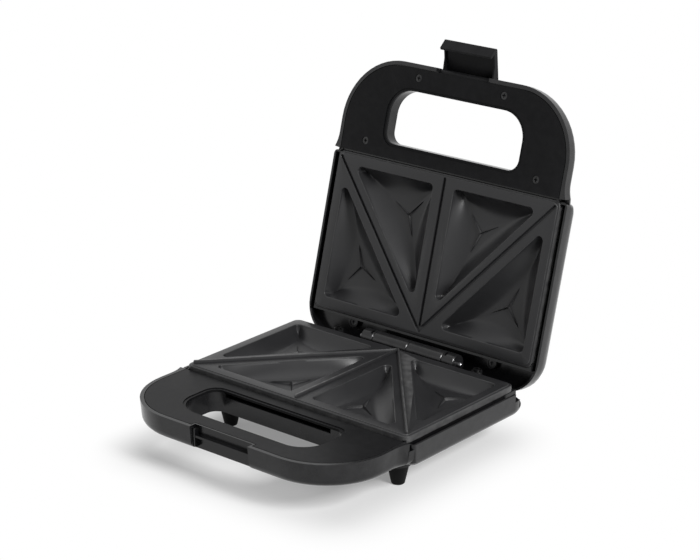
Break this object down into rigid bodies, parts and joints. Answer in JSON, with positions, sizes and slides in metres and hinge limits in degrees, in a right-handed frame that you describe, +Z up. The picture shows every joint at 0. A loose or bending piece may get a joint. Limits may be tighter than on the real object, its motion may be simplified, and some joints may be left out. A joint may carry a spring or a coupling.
{
  "type": "sandwich toaster",
  "caption": "Countertop sandwich toaster with a hinged lid, looped handles, twin-triangle cooking plates and a swing latch, shown open.",
  "frame": {"origin": "on the table, under the middle of the box round the open toaster", "axes": "+X to the right, +Y to the back where the hinge is, +Z up"},
  "size_m": [0.2308, 0.2978, 0.2825],
  "materials": {
    "housing_gloss": "glossy moulded black",
    "cover_satin": "satin black",
    "cover_matte": "fine matte black",
    "nonstick": "dark grey non-stick coating",
    "element_steel": "dull heat-tinted sheath",
    "reflector_steel": "bright sheet",
    "thermostat_metal": "plain",
    "ceramic_sleeve": "glass-fibre sleeve",
    "ceramic": "cream ceramic",
    "black_plastic": "plain",
    "foot_rubber": "matte black",
    "screw_steel": "zinc plated",
    "screw_black": "blackened",
    "pin_steel": "plain steel",
    "latch_plastic": "satin black",
    "lamp_glass": "clear tube",
    "red_lens": "clear red",
    "green_lens": "clear green"
  },
  "bodies": {
    "base": {"base_shell": "housing_gloss", "base_cover": "cover_satin", "lower_plate": "nonstick", "lower_element": "element_steel", "lower_reflector": "reflector_steel", "thermostat": "thermostat_metal", "thermal_fuse": "ceramic_sleeve", "terminal_block": "ceramic", "cord_clamp": "black_plastic", "foot_front_left": "foot_rubber", "foot_front_right": "foot_rubber", "foot_rear_left": "foot_rubber", "foot_rear_right": "foot_rubber", "base_cover_screws": "screw_steel", "base_plate_screws": "screw_steel", "hinge_pin": "pin_steel"},
    "lid": {"lid_shell": "housing_gloss", "lid_cover": "cover_matte", "upper_plate": "nonstick", "upper_element": "element_steel", "upper_reflector": "reflector_steel", "lid_cover_screws": "screw_black", "lid_plate_screws": "screw_black", "lamp_carrier": "ceramic", "neon_lamps": "lamp_glass", "power_lens": "red_lens", "ready_lens": "green_lens", "latch_pin": "pin_steel"},
    "latch": {"latch": "latch_plastic"}
  },
  "joints": [
    {"name": "lid_hinge", "type": "hinge", "parent": "base", "child": "lid", "pos_m": [0, 0.07387, 0.04705], "axis": [1, 0, 0], "range_deg": [0, 105]},
    {"name": "latch_pivot", "type": "hinge", "parent": "lid", "child": "latch", "pos_m": [0, 0.14161, 0.25562], "axis": [1, 0, 0], "range_deg": [0, 70]}
  ]
}
